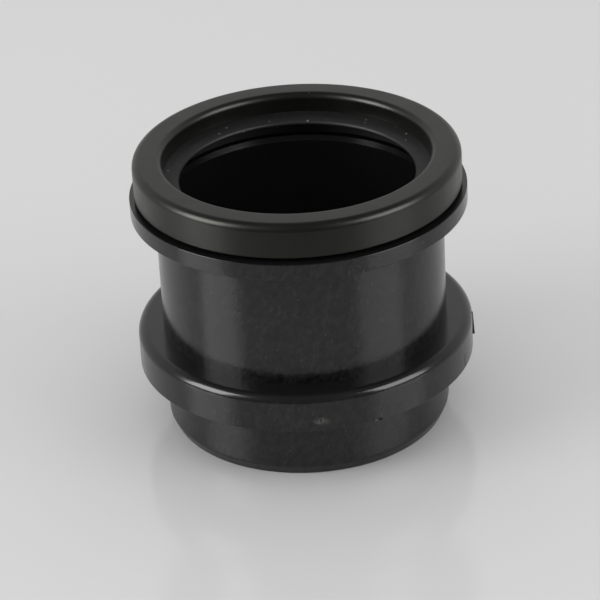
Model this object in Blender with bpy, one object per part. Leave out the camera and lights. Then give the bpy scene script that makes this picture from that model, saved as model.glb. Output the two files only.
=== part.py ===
"""Push-fit waste coupling: a moulded body with a plain spigot below and a sealed socket above.

The body, the lip seal and the retaining cap are turned about the Z axis. The foot of the
spigot stands at Z = 0 and the pipe enters from above. Lengths are in metres.
"""

import math

import bmesh
import bpy

# Spigot, which plugs into the fitting below
SPIGOT_DIAMETER = 0.0500
SPIGOT_WALL = 0.0022
SPIGOT_LENGTH = 0.01165
LEAD_IN_HEIGHT = 0.0019
LEAD_IN_DEPTH = 0.0009

# Stop collar, which rests on the mouth of the fitting below
COLLAR_PROJECTION = 0.0045
COLLAR_HEIGHT = 0.00675
COLLAR_EDGE_ROUND = 0.0015
COLLAR_ROOT_FILLET = 0.0003

# Tube and socket bore
SOCKET_BORE = 0.0466
TUBE_WALL = 0.0017
TUBE_LENGTH = 0.0220

# Inner ring that stops the pipe's end
STOP_LEVEL = 0.0150
STOP_THICKNESS = 0.0020
STOP_PROJECTION = 0.0033

# Upper flange, the pocket for the seal, and the rim that the cap clips onto
FLANGE_PROJECTION = 0.0042
FLANGE_THICKNESS = 0.0030
POCKET_FLOOR_THICKNESS = 0.0014
PIPE_GUIDE_FLARE = 0.00035
PIPE_GUIDE_HEIGHT = 0.0009
RIM_WALL = 0.00125
RIM_HEIGHT = 0.0047
SNAP_BEAD_PROJECTION = 0.00025
SNAP_BEAD_HEIGHT = 0.0012
SNAP_BEAD_LEVEL = 0.0022

# Rubber lip seal
SEAL_STAND_BACK = 0.0007
SEAL_HEEL_WALL = 0.0011
LIP_REACH = 0.0032
LIP_DROP = 0.0008
LIP_ROOT_THICKNESS = 0.0015
LIP_EDGE_THICKNESS = 0.0006

# Retaining cap
CAP_SKIRT_WALL = 0.0013
CAP_TOP_THICKNESS = 0.0018
CAP_EDGE_ROUND = 0.00135
CAP_MOUTH_ROUND = 0.00085
CAP_FLANGE_GAP = 0.00065
CAP_PRESSER_WALL = 0.0020
CAP_PRESSER_LENGTH = 0.0012

# Fits between the three pieces
SEAT_CLEARANCE = 0.0003
SNAP_CLEARANCE = 0.00015

# Moulded corners
CORNER_BREAK = 0.0003
ROOT_FILLET = 0.0004

# Facets: a full turn, and a quarter turn of a large round; breaks smaller than FINE_ROUND are one facet
TURN_FACETS = 64
ROUND_FACETS = 4
FINE_ROUND = 0.0006
SMOOTH_ANGLE = math.radians(30)
LONGEST_ROUND = 0.45

# Levels, from the foot upwards
collar_bottom = SPIGOT_LENGTH
collar_top = collar_bottom + COLLAR_HEIGHT
flange_bottom = collar_top + TUBE_LENGTH
flange_top = flange_bottom + FLANGE_THICKNESS
pocket_floor = flange_bottom + POCKET_FLOOR_THICKNESS
rim_top = flange_top + RIM_HEIGHT
snap_level = flange_top + SNAP_BEAD_LEVEL
cap_bottom = flange_top + CAP_FLANGE_GAP
cap_ceiling = rim_top + SEAT_CLEARANCE
cap_top = cap_ceiling + CAP_TOP_THICKNESS
presser_end = cap_ceiling - CAP_PRESSER_LENGTH
seal_bottom = pocket_floor + SEAT_CLEARANCE
seal_top = presser_end - SEAT_CLEARANCE

# Radii, from the socket bore outwards
bore_radius = SOCKET_BORE / 2
guide_radius = bore_radius + PIPE_GUIDE_FLARE
heel_inner = bore_radius + SEAL_STAND_BACK
heel_outer = heel_inner + SEAL_HEEL_WALL
pocket_radius = heel_outer + SEAT_CLEARANCE
rim_radius = pocket_radius + RIM_WALL
bead_radius = rim_radius + SNAP_BEAD_PROJECTION
skirt_inner = bead_radius + SNAP_CLEARANCE
skirt_outer = skirt_inner + CAP_SKIRT_WALL
presser_outer = pocket_radius - SEAT_CLEARANCE
opening_radius = presser_outer - CAP_PRESSER_WALL
lip_radius = heel_inner - LIP_REACH
tube_radius = bore_radius + TUBE_WALL
flange_radius = tube_radius + FLANGE_PROJECTION
collar_radius = tube_radius + COLLAR_PROJECTION
stop_radius = bore_radius - STOP_PROJECTION
spigot_radius = SPIGOT_DIAMETER / 2
spigot_bore_radius = spigot_radius - SPIGOT_WALL


def corner_points(before, corner, after):
    """Points of one corner of a profile: the corner itself, or an arc where it has a radius."""
    point = (corner[0], corner[1])
    radius = corner[2] if len(corner) > 2 else 0
    if radius == 0:
        return [point]
    to_before = (before[0] - point[0], before[1] - point[1])
    to_after = (after[0] - point[0], after[1] - point[1])
    reach_before = math.hypot(*to_before)
    reach_after = math.hypot(*to_after)
    first = (to_before[0] / reach_before, to_before[1] / reach_before)
    second = (to_after[0] / reach_after, to_after[1] / reach_after)
    half_angle = math.acos(first[0] * second[0] + first[1] * second[1]) / 2
    tangent = min(radius / math.tan(half_angle), LONGEST_ROUND * min(reach_before, reach_after))
    radius = tangent * math.tan(half_angle)
    middle = (first[0] + second[0], first[1] + second[1])
    to_centre = radius / math.sin(half_angle) / math.hypot(*middle)
    centre = (point[0] + middle[0] * to_centre, point[1] + middle[1] * to_centre)
    start = math.atan2(point[1] + first[1] * tangent - centre[1], point[0] + first[0] * tangent - centre[0])
    end = math.atan2(point[1] + second[1] * tangent - centre[1], point[0] + second[0] * tangent - centre[0])
    sweep = math.remainder(end - start, math.tau)
    facets = ROUND_FACETS if radius >= FINE_ROUND else 1
    angles = [start + sweep * step / facets for step in range(facets + 1)]
    return [(centre[0] + radius * math.cos(a), centre[1] + radius * math.sin(a)) for a in angles]


def turned_mesh(name, corners):
    """A solid ring: the closed profile of (radius, height, corner radius) spun once about Z."""
    profile = []
    for index, corner in enumerate(corners):
        profile += corner_points(corners[index - 1], corner, corners[(index + 1) % len(corners)])
    ring = bmesh.new()
    points = [ring.verts.new((radius, 0, height)) for radius, height in profile]
    edges = [ring.edges.new((points[index - 1], points[index])) for index in range(len(points))]
    bmesh.ops.spin(
        ring,
        geom=points + edges,
        cent=(0, 0, 0),
        axis=(0, 0, 1),
        angle=math.tau,
        steps=TURN_FACETS,
        use_merge=True,
    )
    bmesh.ops.recalc_face_normals(ring, faces=ring.faces)
    mesh = bpy.data.meshes.new(name)
    ring.to_mesh(mesh)
    ring.free()
    mesh.shade_smooth()
    mesh.set_sharp_from_angle(angle=SMOOTH_ANGLE)
    return mesh


def plastic(name, colour, roughness):
    """A plain moulded material of one linear colour."""
    material = bpy.data.materials.new(name)
    material.use_nodes = True
    shader = material.node_tree.nodes["Principled BSDF"]
    shader.inputs["Base Color"].default_value = (*colour, 1)
    shader.inputs["Roughness"].default_value = roughness
    shader.inputs["Metallic"].default_value = 0
    return material


def add_piece(name, corners, level, material, parent=None):
    """A turned piece whose origin is on the axis, at the level where the piece seats."""
    seated = [(corner[0], corner[1] - level, *corner[2:]) for corner in corners]
    piece = bpy.data.objects.new(name, turned_mesh(name, seated))
    piece.data.materials.append(material)
    piece.location.z = level
    piece.parent = parent
    bpy.context.scene.collection.objects.link(piece)
    return piece


def snap_bead(root, crest):
    """The bead's section on the rim, or the groove for it in the cap, from its top downwards."""
    half = SNAP_BEAD_HEIGHT / 2
    flat = half - SNAP_BEAD_PROJECTION
    return [
        (root, snap_level + half),
        (crest, snap_level + flat),
        (crest, snap_level - flat),
        (root, snap_level - half),
    ]


def body_profile():
    """The moulding, from the top of its rim down the outside and back up the bore."""
    return [
        (rim_radius, rim_top, CORNER_BREAK),
        *snap_bead(rim_radius, bead_radius),
        (rim_radius, flange_top),
        (flange_radius, flange_top, CORNER_BREAK),
        (flange_radius, flange_bottom, CORNER_BREAK),
        (tube_radius, flange_bottom, ROOT_FILLET),
        (tube_radius, collar_top, COLLAR_ROOT_FILLET),
        (collar_radius, collar_top, COLLAR_EDGE_ROUND),
        (collar_radius, collar_bottom, CORNER_BREAK),
        (spigot_radius, collar_bottom, ROOT_FILLET),
        (spigot_radius, LEAD_IN_HEIGHT),
        (spigot_radius - LEAD_IN_DEPTH, 0),
        (spigot_bore_radius, 0),
        (spigot_bore_radius, STOP_LEVEL),
        (stop_radius, STOP_LEVEL),
        (stop_radius, STOP_LEVEL + STOP_THICKNESS),
        (bore_radius, STOP_LEVEL + STOP_THICKNESS, ROOT_FILLET),
        (bore_radius, pocket_floor - PIPE_GUIDE_HEIGHT),
        (guide_radius, pocket_floor),
        (pocket_radius, pocket_floor),
        (pocket_radius, rim_top, CORNER_BREAK),
    ]


def seal_profile():
    """The rubber ring: a heel that stands in the pocket, and a lip that slopes in to the pipe."""
    lip_edge = seal_top - LIP_DROP
    return [
        (heel_outer, seal_top, CORNER_BREAK),
        (heel_outer, seal_bottom, CORNER_BREAK),
        (heel_inner, seal_bottom, CORNER_BREAK),
        (heel_inner, seal_top - LIP_ROOT_THICKNESS, ROOT_FILLET),
        (lip_radius, lip_edge - LIP_EDGE_THICKNESS, CORNER_BREAK),
        (lip_radius, lip_edge, CORNER_BREAK),
        (opening_radius, seal_top, ROOT_FILLET),
    ]


def cap_profile():
    """The cap: an outer skirt over the rim, a flat top, and an inner skirt that holds the seal down."""
    return [
        (skirt_outer, cap_top, CAP_EDGE_ROUND),
        (skirt_outer, cap_bottom, CORNER_BREAK),
        (skirt_inner, cap_bottom, CORNER_BREAK),
        *reversed(snap_bead(skirt_inner, skirt_inner + SNAP_BEAD_PROJECTION)),
        (skirt_inner, cap_ceiling),
        (presser_outer, cap_ceiling),
        (presser_outer, presser_end, CORNER_BREAK),
        (opening_radius, presser_end, CORNER_BREAK),
        (opening_radius, cap_top, CAP_MOUTH_ROUND),
    ]


def clear_scene():
    for item in list(bpy.data.objects):
        bpy.data.objects.remove(item, do_unlink=True)


def main():
    clear_scene()
    moulded = plastic("black_polypropylene", (0.022, 0.023, 0.025), 0.32)
    rubber = plastic("black_rubber", (0.026, 0.027, 0.029), 0.5)
    matt = plastic("matt_black_polypropylene", (0.026, 0.026, 0.025), 0.45)
    body = add_piece("coupling_body", body_profile(), 0, moulded)
    add_piece("seal_ring", seal_profile(), seal_bottom, rubber, body)
    add_piece("retaining_cap", cap_profile(), cap_bottom, matt, body)


main()
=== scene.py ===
import math

import bmesh
import bpy
from mathutils import Matrix, Vector


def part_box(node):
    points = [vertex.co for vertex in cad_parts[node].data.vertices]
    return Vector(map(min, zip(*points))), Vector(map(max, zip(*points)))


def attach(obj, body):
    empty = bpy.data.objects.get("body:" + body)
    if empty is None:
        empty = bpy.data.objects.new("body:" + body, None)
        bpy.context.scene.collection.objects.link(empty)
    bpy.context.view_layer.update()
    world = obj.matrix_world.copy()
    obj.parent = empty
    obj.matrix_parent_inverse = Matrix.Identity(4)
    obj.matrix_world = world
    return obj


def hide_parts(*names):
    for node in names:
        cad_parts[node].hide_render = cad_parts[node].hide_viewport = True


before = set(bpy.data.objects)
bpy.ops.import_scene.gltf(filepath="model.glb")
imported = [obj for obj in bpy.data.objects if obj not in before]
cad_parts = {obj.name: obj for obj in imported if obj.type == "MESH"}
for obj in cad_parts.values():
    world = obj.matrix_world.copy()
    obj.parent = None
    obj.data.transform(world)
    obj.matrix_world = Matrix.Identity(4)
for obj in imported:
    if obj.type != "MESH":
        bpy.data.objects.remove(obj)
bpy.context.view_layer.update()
mm = 0.001
turnSides = 320  # edges round a turned piece, enough for its highlights to run smooth
nearRing = 0.002 * mm  # a point this close to a ring belongs to it
wideRound = 0.6 * mm  # a wider round gets more segments
smoothAngle = math.radians(32)
print("frame loaded:", ", ".join(sorted(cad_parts)))


def linearColour(hexCode):  # sRGB hex to the linear colour that a socket takes
    channels = [int(hexCode[start:start + 2], 16) / 255 for start in (1, 3, 5)]
    return [c / 12.92 if c <= 0.04045 else ((c + 0.055) / 1.055) ** 2.4 for c in channels] + [1]


# An input that is a socket is linked, and any other value is set. A Mix node's inputs go by number:
# 0 is its factor, 2 and 3 are its two values, 6 and 7 its two colours
def addNode(tree, kind, inputs=None, **settings):
    node = tree.nodes.new(kind)
    for name, value in settings.items():
        setattr(node, name, value)
    for name, value in (inputs or {}).items():
        if isinstance(value, bpy.types.NodeSocket):
            tree.links.new(value, node.inputs[name])
        else:
            node.inputs[name].default_value = value
    return node


def startMaterial(name):  # a new material with its node tree, its shader and its Object coordinates
    material = bpy.data.materials.new(name)
    material.use_nodes = True
    tree = material.node_tree
    coords = addNode(tree, "ShaderNodeTexCoord").outputs["Object"]
    return material, tree, tree.nodes["Principled BSDF"], coords


# Dots of uneven strength, one to a cell: spacing is in mm, core and edge are in cells, and a cell whose draw
# is under the weakest has none
def scatterDots(tree, vector, spacing, core, edge, weakest):
    cells = addNode(tree, "ShaderNodeTexVoronoi", {"Vector": vector, "Scale": 1 / (spacing * mm)})
    dot = addNode(tree, "ShaderNodeMapRange", {
        "Value": cells.outputs["Distance"], "From Min": core, "From Max": edge,
        "To Min": 1, "To Max": 0}).outputs[0]
    draw = addNode(tree, "ShaderNodeSeparateColor", {"Color": cells.outputs["Color"]}).outputs[0]
    picked = addNode(tree, "ShaderNodeMapRange", {
        "Value": draw, "From Min": weakest, "From Max": 1}).outputs[0]
    return addNode(tree, "ShaderNodeMath", {0: dot, 1: picked}, operation="MULTIPLY").outputs[0]


def selectOnly(piece):
    bpy.ops.object.select_all(action="DESELECT")
    bpy.context.view_layer.objects.active = piece
    piece.select_set(True)


def roundRing(piece, radius, height, amount):  # bevels the edges that lie on one ring
    bpy.ops.mesh.select_all(action="DESELECT")
    edit = bmesh.from_edit_mesh(piece.data)
    for edge in edit.edges:
        ends = [vertex.co for vertex in edge.verts]
        near = [abs(end.xy.length - radius) < nearRing and abs(end.z - height) < nearRing for end in ends]
        edge.select_set(all(near))
    bmesh.update_edit_mesh(piece.data)
    bpy.ops.mesh.bevel(offset=amount, segments=8 if amount > wideRound else 5, affect="EDGES")


def turnPiece(name, section):  # section: radius, height and edge round of each corner, in mm
    rings = [[size * mm for size in corner] for corner in section]
    radius, height = rings[0][:2]
    bpy.ops.object.select_all(action="DESELECT")
    bpy.ops.mesh.primitive_circle_add(vertices=turnSides, radius=radius, location=(0, 0, height))
    piece = bpy.context.object
    piece.name = piece.data.name = name
    bpy.ops.object.transform_apply(location=True, rotation=True, scale=True)
    bpy.ops.object.mode_set(mode="EDIT")
    bpy.ops.mesh.select_mode(type="EDGE")
    bpy.ops.mesh.select_all(action="SELECT")
    for ring in rings[1:] + rings[:1]:
        bpy.ops.mesh.extrude_edges_move(TRANSFORM_OT_translate={"value": (0, 0, ring[1] - height)})
        bpy.ops.transform.resize(value=(ring[0] / radius, ring[0] / radius, 1), center_override=(0, 0, 0))
        radius, height = ring[:2]
    bpy.ops.mesh.select_all(action="SELECT")
    bpy.ops.mesh.remove_doubles(threshold=nearRing)
    bpy.ops.mesh.normals_make_consistent(inside=False)
    for ring in rings:
        if len(ring) > 2:
            roundRing(piece, *ring)
    bpy.ops.object.mode_set(mode="OBJECT")
    return piece


def onRing(azimuth, radius, height):  # degrees from the camera's side towards its right, and sizes in mm
    angle = math.radians(azimuth)
    return Vector((radius * math.sin(angle), -radius * math.cos(angle), height)) * mm


def addBlob(azimuth, radius, height, size):  # a stretched ball, sized along the ring, outwards and upwards
    bpy.ops.object.select_all(action="DESELECT")
    bpy.ops.mesh.primitive_uv_sphere_add(
        segments=24, ring_count=12, radius=0.5, location=onRing(azimuth, radius, height))
    blob = bpy.context.object
    blob.scale = Vector(size) * mm
    blob.rotation_euler.z = math.radians(azimuth)
    bpy.ops.object.transform_apply(location=True, rotation=True, scale=True)
    return blob


def mergeMark(piece, mark, operation):  # cuts a mark into the piece, or sets it on the piece
    selectOnly(piece)
    merge = piece.modifiers.new("merge", "BOOLEAN")
    merge.operation = operation
    merge.object = mark
    bpy.ops.object.modifier_apply(modifier=merge.name)
    bpy.data.objects.remove(mark, do_unlink=True)


def finishPiece(piece, body, node, material):  # smooth shading, then finish and place in the frame
    selectOnly(piece)
    bpy.ops.object.shade_smooth_by_angle(angle=smoothAngle)
    flatFaces = piece.modifiers.new("flatFaces", "WEIGHTED_NORMAL")
    flatFaces.keep_sharp = True
    bpy.ops.object.modifier_apply(modifier=flatFaces.name)
    piece.data.materials.clear()
    piece.data.materials.append(material)
    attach(piece, body)
    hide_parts(node)
    print("made", piece.name, "with", len(piece.data.polygons), "faces")


# Moulded polypropylene, black all through: a satin skin with a fine grain that breaks up the edges of its
# reflections, a few pale specks, and one chafed spot low on the collar
mouldedFinish = {
    "black": "#0b0b0b", "rubbed": "#252525", "specks": "#323232", "chafed": "#5a5a56",
    "grain": 0.9, "patches": 6, "speckSpacing": 1.1, "scratches": 0.6, "bumpDepth": 0.06,  # mm
    "outsideFrom": 24.2, "outsideBy": 24.6, "spigotFrom": 11.9, "spigotBy": 11.4,  # mm
    "grainTilt": (0.2, 0.4, 0), "grainStretch": (1, 1, 1.8), "insideRubbed": 0.24, "bump": (0.15, 0.6),
    "roughness": (0.17, 0.23), "spigotDuller": 0.12, "ior": 1.45,
}


def mouldedPolypropylene(finish, chafed):
    material, tree, shader, coords = startMaterial("moulded polypropylene")
    drawnOut = addNode(tree, "ShaderNodeMapping", {
        "Vector": coords, "Rotation": finish["grainTilt"], "Scale": finish["grainStretch"]},
        vector_type="TEXTURE").outputs[0]
    grain = addNode(tree, "ShaderNodeTexNoise", {
        "Vector": drawnOut, "Scale": 1 / (finish["grain"] * mm), "Detail": 3, "Roughness": 0.75}).outputs[0]
    # the outer walls get handled, and the bore and the flat tops don't
    outwards = addNode(tree, "ShaderNodeVectorMath", {
        0: coords, 1: (1, 1, 0)}, operation="MULTIPLY").outputs[0]
    outwards = addNode(tree, "ShaderNodeVectorMath", {0: outwards}, operation="LENGTH").outputs["Value"]
    outside = addNode(tree, "ShaderNodeMapRange", {
        "Value": outwards, "From Min": finish["outsideFrom"] * mm,
        "From Max": finish["outsideBy"] * mm}).outputs[0]
    normal = addNode(tree, "ShaderNodeNewGeometry").outputs["Normal"]
    facing = addNode(tree, "ShaderNodeSeparateXYZ", {0: normal}).outputs["Z"]
    upright = addNode(tree, "ShaderNodeMapRange", {
        "Value": facing, "From Min": 0.1, "From Max": 0.5, "To Min": 1, "To Max": 0}).outputs[0]
    handled = addNode(tree, "ShaderNodeMath", {0: outside, 1: upright}, operation="MULTIPLY").outputs[0]
    rubbed = addNode(tree, "ShaderNodeMapRange", {
        "Value": grain, "From Min": 0.4, "From Max": 0.8}).outputs[0]
    rubbed = addNode(tree, "ShaderNodeMix", {0: handled, 2: finish["insideRubbed"], 3: rubbed}).outputs[0]
    colour = addNode(tree, "ShaderNodeMix", {
        0: rubbed, 6: linearColour(finish["black"]), 7: linearColour(finish["rubbed"])},
        data_type="RGBA").outputs[2]
    specks = scatterDots(tree, drawnOut, finish["speckSpacing"], core=0.05, edge=0.2, weakest=0.4)
    specks = addNode(tree, "ShaderNodeMath", {0: specks, 1: handled}, operation="MULTIPLY").outputs[0]
    colour = addNode(tree, "ShaderNodeMix", {
        0: specks, 6: colour, 7: linearColour(finish["specks"])}, data_type="RGBA").outputs[2]
    # the chafed spot: scratches that fade out from its middle
    fromSpot = addNode(tree, "ShaderNodeMapping", {
        "Vector": coords, "Location": onRing(*chafed["place"]), "Scale": Vector(chafed["size"]) * mm},
        vector_type="TEXTURE").outputs[0]
    chafe = addNode(tree, "ShaderNodeVectorMath", {0: fromSpot}, operation="LENGTH").outputs["Value"]
    chafe = addNode(tree, "ShaderNodeMapRange", {
        "Value": chafe, "From Min": 0.1, "From Max": 1, "To Min": 1, "To Max": 0}).outputs[0]
    scratched = addNode(tree, "ShaderNodeTexNoise", {
        "Vector": coords, "Scale": 1 / (finish["scratches"] * mm), "Detail": 2}).outputs[0]
    scratched = addNode(tree, "ShaderNodeMapRange", {
        "Value": scratched, "From Min": 0.4, "From Max": 0.65}).outputs[0]
    chafe = addNode(tree, "ShaderNodeMath", {0: chafe, 1: scratched}, operation="MULTIPLY").outputs[0]
    colour = addNode(tree, "ShaderNodeMix", {
        0: chafe, 6: colour, 7: linearColour(finish["chafed"])}, data_type="RGBA").outputs[2]
    # gloss drifts over the skin in wide patches, and the spigot is duller
    patches = addNode(tree, "ShaderNodeTexNoise", {
        "Vector": coords, "Scale": 1 / (finish["patches"] * mm), "Detail": 2}).outputs[0]
    smooth, rough = finish["roughness"]
    roughness = addNode(tree, "ShaderNodeMapRange", {
        "Value": patches, "From Min": 0.3, "From Max": 0.7, "To Min": smooth, "To Max": rough}).outputs[0]
    height = addNode(tree, "ShaderNodeSeparateXYZ", {0: coords}).outputs["Z"]
    dull = addNode(tree, "ShaderNodeMapRange", {
        "Value": height, "From Min": finish["spigotFrom"] * mm, "From Max": finish["spigotBy"] * mm,
        "To Max": finish["spigotDuller"]}).outputs[0]
    roughness = addNode(tree, "ShaderNodeMath", {0: roughness, 1: dull}, operation="ADD").outputs[0]
    faint, plain = finish["bump"]
    bumped = addNode(tree, "ShaderNodeMapRange", {
        "Value": handled, "To Min": faint, "To Max": plain}).outputs[0]
    bump = addNode(tree, "ShaderNodeBump", {
        "Height": grain, "Strength": bumped, "Distance": finish["bumpDepth"] * mm}).outputs[0]
    tree.links.new(colour, shader.inputs["Base Color"])
    tree.links.new(roughness, shader.inputs["Roughness"])
    tree.links.new(bump, shader.inputs["Normal"])
    shader.inputs["IOR"].default_value = finish["ior"]
    return material


# The cap's polypropylene is a shade warmer and duller, off a finely blasted mould
mattFinish = {
    "black": "#050504", "pale": "#10100b", "shine": "#fffef5",
    "grain": 0.4, "patches": 5, "bumpDepth": 0.02,  # mm
    "roughness": (0.31, 0.37), "bump": 0.3, "ior": 1.43,
}


def mattPolypropylene(finish):
    material, tree, shader, coords = startMaterial("matt moulded polypropylene")
    grain = addNode(tree, "ShaderNodeTexNoise", {
        "Vector": coords, "Scale": 1 / (finish["grain"] * mm), "Detail": 3, "Roughness": 0.6}).outputs[0]
    patches = addNode(tree, "ShaderNodeTexNoise", {
        "Vector": coords, "Scale": 1 / (finish["patches"] * mm), "Detail": 2}).outputs[0]
    colour = addNode(tree, "ShaderNodeMix", {
        0: grain, 6: linearColour(finish["black"]), 7: linearColour(finish["pale"])},
        data_type="RGBA").outputs[2]
    smooth, rough = finish["roughness"]
    roughness = addNode(tree, "ShaderNodeMapRange", {
        "Value": patches, "From Min": 0.3, "From Max": 0.7, "To Min": smooth, "To Max": rough}).outputs[0]
    bump = addNode(tree, "ShaderNodeBump", {
        "Height": grain, "Strength": finish["bump"], "Distance": finish["bumpDepth"] * mm}).outputs[0]
    tree.links.new(colour, shader.inputs["Base Color"])
    tree.links.new(roughness, shader.inputs["Roughness"])
    tree.links.new(bump, shader.inputs["Normal"])
    shader.inputs["IOR"].default_value = finish["ior"]
    shader.inputs["Specular Tint"].default_value = linearColour(finish["shine"])
    return material


# Moulded rubber: soft sheen, a bluish black, with a little dust on it
rubberFinish = {
    "black": "#020202", "pale": "#060607", "dust": "#707070",
    "clouds": 1.2, "dustSpacing": 1.3,  # mm
    "roughness": (0.52, 0.6), "ior": 1.48,
}


def sealRubber(finish):
    material, tree, shader, coords = startMaterial("EPDM rubber")
    clouds = addNode(tree, "ShaderNodeTexNoise", {
        "Vector": coords, "Scale": 1 / (finish["clouds"] * mm), "Detail": 3}).outputs[0]
    colour = addNode(tree, "ShaderNodeMix", {
        0: clouds, 6: linearColour(finish["black"]), 7: linearColour(finish["pale"])},
        data_type="RGBA").outputs[2]
    dust = scatterDots(tree, coords, finish["dustSpacing"], core=0.09, edge=0.19, weakest=0.5)
    colour = addNode(tree, "ShaderNodeMix", {
        0: dust, 6: colour, 7: linearColour(finish["dust"])}, data_type="RGBA").outputs[2]
    smooth, rough = finish["roughness"]
    roughness = addNode(tree, "ShaderNodeMapRange", {
        "Value": clouds, "From Min": 0.3, "From Max": 0.7, "To Min": smooth, "To Max": rough}).outputs[0]
    tree.links.new(colour, shader.inputs["Base Color"])
    tree.links.new(roughness, shader.inputs["Roughness"])
    shader.inputs["IOR"].default_value = finish["ior"]
    return material


# The snap bead on the body's rim, whose section the cap's groove repeats
snap = {"level": 45.6, "half": 0.6, "out": 0.25}


def snapRidge(root):  # its corners from the top downwards, on a wall of this radius
    top, bottom = snap["level"] + snap["half"], snap["level"] - snap["half"]
    crest = root + snap["out"]
    return [(root, top), (crest, top - snap["out"]), (crest, bottom + snap["out"]), (root, bottom)]


# Body: spigot, stop collar, tube, flange, and the rim that the cap clips onto
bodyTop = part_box("coupling_body")[1] / mm
body = {
    "collarRadius": bodyTop.x, "rimTop": bodyTop.z, "rimRadius": 26.65,
    "tubeRadius": 25.0, "boreRadius": 23.3,
    "spigotRadius": 25.0, "spigotBore": 22.8, "leadInHeight": 1.9, "leadInDepth": 0.9,
    "collarBottom": 11.65, "collarTop": 18.4, "collarRound": 1.6, "collarLowerEdge": 0.08,
    "flangeRadius": 29.2, "flangeBottom": 40.4, "flangeTop": 43.4,
    "flangeUpperEdge": 0.12, "flangeRoot": 0.25,
    "stopRadius": 20.0, "stopBottom": 15.0, "stopTop": 17.0,
    "pocketFloor": 41.8, "pocketRadius": 25.4,
    "guideRadius": 23.67, "guideBottom": 40.7, "guideStartOut": 0.07, "guideStartUp": 0.14,
    "edge": 0.3, "smallEdge": 0.2, "footEdge": 0.25, "root": 0.4,
}
couplingBody = turnPiece("couplingBody", [
    (body["rimRadius"], body["rimTop"], body["edge"]),
    *snapRidge(body["rimRadius"]),
    (body["rimRadius"], body["flangeTop"], body["smallEdge"]),
    (body["flangeRadius"], body["flangeTop"], body["flangeUpperEdge"]),
    (body["flangeRadius"], body["flangeBottom"], body["smallEdge"]),
    (body["tubeRadius"], body["flangeBottom"], body["flangeRoot"]),
    (body["tubeRadius"], body["collarTop"]),
    (body["collarRadius"], body["collarTop"], body["collarRound"]),
    (body["collarRadius"], body["collarBottom"], body["collarLowerEdge"]),
    (body["spigotRadius"], body["collarBottom"], body["root"]),
    (body["spigotRadius"], body["leadInHeight"], body["edge"]),
    (body["spigotRadius"] - body["leadInDepth"], 0, body["footEdge"]),
    (body["spigotBore"], 0, body["footEdge"]),
    (body["spigotBore"], body["stopBottom"], body["edge"]),
    (body["stopRadius"], body["stopBottom"], body["edge"]),
    (body["stopRadius"], body["stopTop"], body["edge"]),
    (body["boreRadius"], body["stopTop"], body["root"]),
    (body["boreRadius"], body["guideBottom"]),
    (body["boreRadius"] + body["guideStartOut"], body["guideBottom"] + body["guideStartUp"]),
    (body["guideRadius"], body["pocketFloor"]),
    (body["pocketRadius"], body["pocketFloor"], body["smallEdge"]),
    (body["pocketRadius"], body["rimTop"], body["edge"]),
])

# Marks on the collar: the gate's stub on its side, a short crack beside it, a nick in its lower edge and the
# chafed spot. A place is azimuth, radius and height, and topWidth and topOut are shares of the stub's foot
stub = {"azimuth": 88, "width": 0.4, "out": 0.4, "bottom": 12.8, "top": 17.2, "topWidth": 0.6, "topOut": 0.3,
        "edge": 0.08}
crack = {"path": [(68.8, 14.3), (67.1, 13.1), (68.6, 11.9)], "depths": (0, 0.16, 0.32), "halfWidth": 0.11}
nick = {"place": (22.7, 29.5, 11.85), "size": (1.5, 0.5, 0.5)}
chafedSpot = {"place": (3.2, 29.5, 13.5), "size": (1.7, 1.5, 0.9)}

bpy.ops.object.select_all(action="DESELECT")
bpy.ops.mesh.primitive_cube_add(size=1)
stubBlock = bpy.context.object
stubBlock.scale = Vector((stub["width"], 2 * stub["out"], stub["top"] - stub["bottom"])) * mm
bpy.ops.object.transform_apply(location=True, rotation=True, scale=True)
bpy.ops.object.mode_set(mode="EDIT")
bpy.ops.mesh.select_mode(type="FACE")
bpy.ops.mesh.select_all(action="DESELECT")
edit = bmesh.from_edit_mesh(stubBlock.data)
for face in edit.faces:
    face.select_set(face.normal.z > 0.5)  # its top
bmesh.update_edit_mesh(stubBlock.data)
bpy.ops.transform.resize(value=(stub["topWidth"], stub["topOut"], 1))
bpy.ops.mesh.select_all(action="SELECT")
bpy.ops.mesh.bevel(offset=stub["edge"] * mm, segments=3, affect="EDGES")
bpy.ops.object.mode_set(mode="OBJECT")
stubBlock.location = onRing(stub["azimuth"], body["collarRadius"], (stub["bottom"] + stub["top"]) / 2)
stubBlock.rotation_euler.z = math.radians(stub["azimuth"])
bpy.ops.object.transform_apply(location=True, rotation=True, scale=True)
mergeMark(couplingBody, stubBlock, "UNION")

crackStart, crackMiddle, crackEnd = crack["path"]
crackRoute = [crackStart, crackStart, crackMiddle, crackEnd, crackEnd]  # one for each point of Blender's path
for depth in crack["depths"]:  # one groove below the other
    bpy.ops.object.select_all(action="DESELECT")
    bpy.ops.curve.primitive_nurbs_path_add()
    crackLine = bpy.context.object
    for point, (azimuth, height) in zip(crackLine.data.splines[0].points, crackRoute):
        point.co = [*onRing(azimuth, body["collarRadius"] - depth, height), 1]
    crackLine.data.bevel_depth = crack["halfWidth"] * mm
    crackLine.data.bevel_resolution = 2
    crackLine.data.use_fill_caps = True
    bpy.ops.object.convert(target="MESH")
    mergeMark(couplingBody, bpy.context.object, "DIFFERENCE")
mergeMark(couplingBody, addBlob(*nick["place"], nick["size"]), "DIFFERENCE")
bodyMaterial = mouldedPolypropylene(mouldedFinish, chafedSpot)
finishPiece(couplingBody, "coupling_body", "coupling_body", bodyMaterial)

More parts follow.
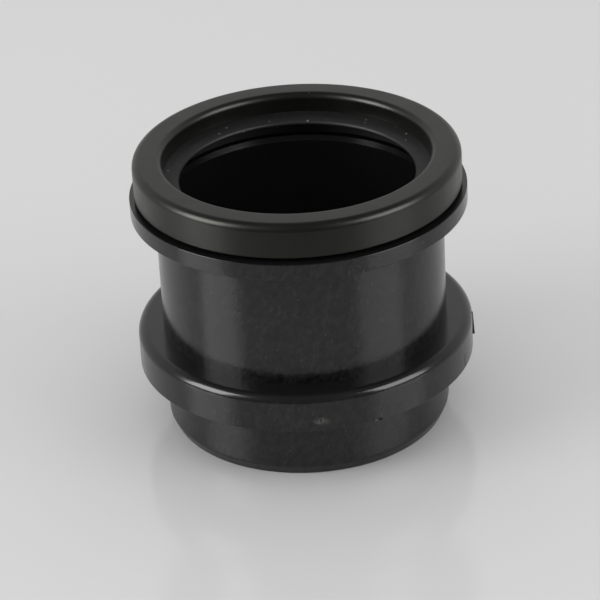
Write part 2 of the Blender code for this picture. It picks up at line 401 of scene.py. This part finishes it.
# Seal: a heel that stands in the body's pocket and a lip that slopes in towards the pipe
sealLow, sealHigh = [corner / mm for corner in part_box("seal_ring")]
seal = {
    "heelOuter": sealHigh.x, "heelInner": 24.0, "bottom": sealLow.z, "top": 46.79,
    "lipRadius": 20.4, "lipTop": 45.85, "lipBottom": 45.25, "rootBottom": 45.2, "shoulderRadius": 23.2,
    "rollRadius": 21.4, "rollTop": 46.4,
    "edge": 0.3, "lipLowerEdge": 0.28, "softRound": 0.5, "crispEdge": 0.05,
}
lipSeal = turnPiece("lipSeal", [
    (seal["heelOuter"], seal["top"], seal["edge"]),
    (seal["heelOuter"], seal["bottom"], seal["edge"]),
    (seal["heelInner"], seal["bottom"], seal["edge"]),
    (seal["heelInner"], seal["rootBottom"], seal["softRound"]),
    (seal["lipRadius"], seal["lipBottom"], seal["lipLowerEdge"]),
    (seal["lipRadius"], seal["lipTop"], seal["edge"]),
    (seal["rollRadius"], seal["rollTop"], seal["softRound"]),
    (seal["shoulderRadius"], seal["top"], seal["crispEdge"]),
])
finishPiece(lipSeal, "seal_ring", "seal_ring", sealRubber(rubberFinish))

# Cap: an outer skirt that clips over the rim, a flat top, and an inner skirt that holds the seal down
capLow, capHigh = [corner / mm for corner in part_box("retaining_cap")]
cap = {
    "outerRadius": capHigh.x, "bottom": capLow.z, "top": capHigh.z, "edgeRound": 1.35, "mouthRound": 1.1,
    "skirtInner": 27.05, "ceiling": 48.4, "presserOuter": 25.1, "presserEnd": 46.8, "openingRadius": 23.1,
    "edge": 0.3, "smallEdge": 0.2, "crispEdge": 0.05,
}
retainingCap = turnPiece("retainingCap", [
    (cap["outerRadius"], cap["top"], cap["edgeRound"]),
    (cap["outerRadius"], cap["bottom"], cap["edge"]),
    (cap["skirtInner"], cap["bottom"], cap["smallEdge"]),
    *reversed(snapRidge(cap["skirtInner"])),
    (cap["skirtInner"], cap["ceiling"], cap["edge"]),
    (cap["presserOuter"], cap["ceiling"], cap["edge"]),
    (cap["presserOuter"], cap["presserEnd"], cap["edge"]),
    (cap["openingRadius"], cap["presserEnd"], cap["crispEdge"]),
    (cap["openingRadius"], cap["top"], cap["mouthRound"]),
])

# Small moulding faults: pits at the left, at the front edge and in the mouth, and a nib in the mouth
capFaults = [
    {"place": (-68.7, 27.2, 50.2), "size": (0.35, 0.35, 0.3), "merge": "DIFFERENCE"},
    {"place": (12.8, 28, 49.9), "size": (0.5, 0.3, 0.3), "merge": "DIFFERENCE"},
    {"place": (141.9, 23.3, 50), "size": (0.5, 0.4, 0.4), "merge": "DIFFERENCE"},
    {"place": (172.8, 23.6, 50.05), "size": (0.35, 0.35, 0.3), "merge": "UNION"},
]
for fault in capFaults:
    mergeMark(retainingCap, addBlob(*fault["place"], fault["size"]), fault["merge"])
finishPiece(retainingCap, "retaining_cap", "retaining_cap", mattPolypropylene(mattFinish))

# Floor: a pale glossy table top, so that the coupling stands on its own faint reflection. Its near part
# carries painted shade that reflected rays alone see, so it looks dark in the coupling's reflections
table = {"width": 6, "colour": "#cecece", "roughness": 0.13, "paintedShadeColour": "#404040", "paintedShadeFrom": 0.11,
         "paintedShadeBy": 0.15}  # m
bpy.ops.object.select_all(action="DESELECT")
bpy.ops.mesh.primitive_plane_add(size=table["width"], location=(0, 0, 0))
floor = bpy.context.object
floor.name = "tableTop"
floorMaterial, floorTree, floorShader, floorCoords = startMaterial("acrylic table top")
# painted shade: for reflected rays only, the floor in front of the coupling turns dark grey
inFront = addNode(floorTree, "ShaderNodeMapRange", {
    "Value": addNode(floorTree, "ShaderNodeSeparateXYZ", {0: floorCoords}).outputs["Y"],
    "From Min": -table["paintedShadeFrom"], "From Max": -table["paintedShadeBy"]}).outputs[0]
glossyRay = addNode(floorTree, "ShaderNodeLightPath").outputs["Is Glossy Ray"]
paintedShadeInReflections = addNode(floorTree, "ShaderNodeMath", {
    0: inFront, 1: glossyRay}, operation="MULTIPLY").outputs[0]
floorColour = addNode(floorTree, "ShaderNodeMix", {
    0: paintedShadeInReflections, 6: linearColour(table["colour"]), 7: linearColour(table["paintedShadeColour"])},
    data_type="RGBA").outputs[2]
floorTree.links.new(floorColour, floorShader.inputs["Base Color"])
floorShader.inputs["Roughness"].default_value = table["roughness"]
floor.data.materials.append(floorMaterial)

# Room: a pale backdrop behind the coupling, and a dark ceiling and camera side, which only reflections show.
# The spans are of the direction's Y, where the backdrop starts, and of its Z, where the ceiling does
room = {"light": 1.12, "backdrop": 0.86, "darkSide": 0.2, "background": 0.8,
        "backdropSpan": (-0.2, 0.5), "ceilingSpan": (0.6, 0.85)}
world = bpy.data.worlds.new("studio")
bpy.context.scene.world = world
world.use_nodes = True
sky = world.node_tree
sky.nodes.clear()
rays = addNode(sky, "ShaderNodeLightPath").outputs
direction = addNode(sky, "ShaderNodeTexCoord").outputs["Generated"]
way = addNode(sky, "ShaderNodeSeparateXYZ", {0: direction}).outputs
behind = addNode(sky, "ShaderNodeMapRange", {
    "Value": way["Y"], "From Min": room["backdropSpan"][0], "From Max": room["backdropSpan"][1]}).outputs[0]
below = addNode(sky, "ShaderNodeMapRange", {
    "Value": way["Z"], "From Min": room["ceilingSpan"][0], "From Max": room["ceilingSpan"][1],
    "To Min": 1, "To Max": 0}).outputs[0]
pale = addNode(sky, "ShaderNodeMath", {0: behind, 1: below}, operation="MULTIPLY").outputs[0]
level = addNode(sky, "ShaderNodeMapRange", {
    "Value": pale, "To Min": room["darkSide"], "To Max": room["backdrop"]}).outputs[0]
mirrored = addNode(sky, "ShaderNodeMath", {
    0: rays["Is Glossy Ray"], 1: rays["Is Transmission Ray"]}, operation="MAXIMUM").outputs[0]
strength = addNode(sky, "ShaderNodeMix", {0: mirrored, 2: room["light"], 3: level}).outputs[0]
strength = addNode(sky, "ShaderNodeMix", {
    0: rays["Is Camera Ray"], 2: strength, 3: room["background"]}).outputs[0]
glow = addNode(sky, "ShaderNodeBackground", {"Strength": strength}).outputs[0]
addNode(sky, "ShaderNodeOutputWorld", {"Surface": glow})
print("floor and room set")

# Two softboxes, left and right of the camera: azimuth and elevation from the object in degrees, sizes in m.
# Each is two lamps: the glow lights everything, and the shine just behind it shows in reflections alone
softboxes = {
    "leftBox": {"azimuth": -71, "elevation": 26, "distance": 0.8, "size": (0.43, 0.52), "radiance": 8,
                "glowShare": 0.3},
    "rightBox": {"azimuth": 63, "elevation": 26, "distance": 0.8, "size": (0.5, 0.52), "radiance": 5,
                 "glowShare": 0.24},
}
shineSetBack = 1.05  # times as far off, and as large, as the glow
wattsPerArea = 4  # a lamp's watts for each square metre at a radiance of 1
aim = Vector((0, 0, 0.025))  # m, half-way up the coupling
for name, box in softboxes.items():
    azimuth, elevation = math.radians(box["azimuth"]), math.radians(box["elevation"])
    flat = math.cos(elevation)
    towards = Vector((math.sin(azimuth) * flat, -math.cos(azimuth) * flat, math.sin(elevation)))
    lamps = [("Glow", 1, box["glowShare"]), ("Shine", shineSetBack, 1 - box["glowShare"])]
    for part, further, share in lamps:
        bpy.ops.object.light_add(type="AREA", location=aim + towards * box["distance"] * further)
        lamp = bpy.context.object
        lamp.name = name + part
        lamp.rotation_euler = towards.to_track_quat("Z", "Y").to_euler()
        lamp.data.shape = "RECTANGLE"
        lamp.data.size, lamp.data.size_y = [side * further for side in box["size"]]
        lamp.data.energy = box["radiance"] * share * wattsPerArea * lamp.data.size * lamp.data.size_y
        lamp.visible_diffuse = part == "Glow"

# Camera, fitted to the photograph's outline of the coupling: distance and offset in m, angles in degrees
view = {"focalPixels": 2900, "framePixels": 600, "distance": 0.50926, "elevation": 28.67, "roll": 3.2,
        "offset": (0.00075, 0.00359)}
turn = Matrix.Rotation(math.radians(90 - view["elevation"]), 3, "X")
cameraPlace = aim + turn @ Vector((-view["offset"][0], -view["offset"][1], view["distance"]))
bpy.ops.object.camera_add(location=cameraPlace)
camera = bpy.context.object
camera.rotation_euler = (turn @ Matrix.Rotation(math.radians(-view["roll"]), 3, "Z")).to_euler()
camera.data.lens = camera.data.sensor_width * view["focalPixels"] / view["framePixels"]
camera.data.clip_start = 0.01
bpy.context.scene.camera = camera
bpy.context.scene.view_settings.view_transform = "Standard"
print("lights and camera set")
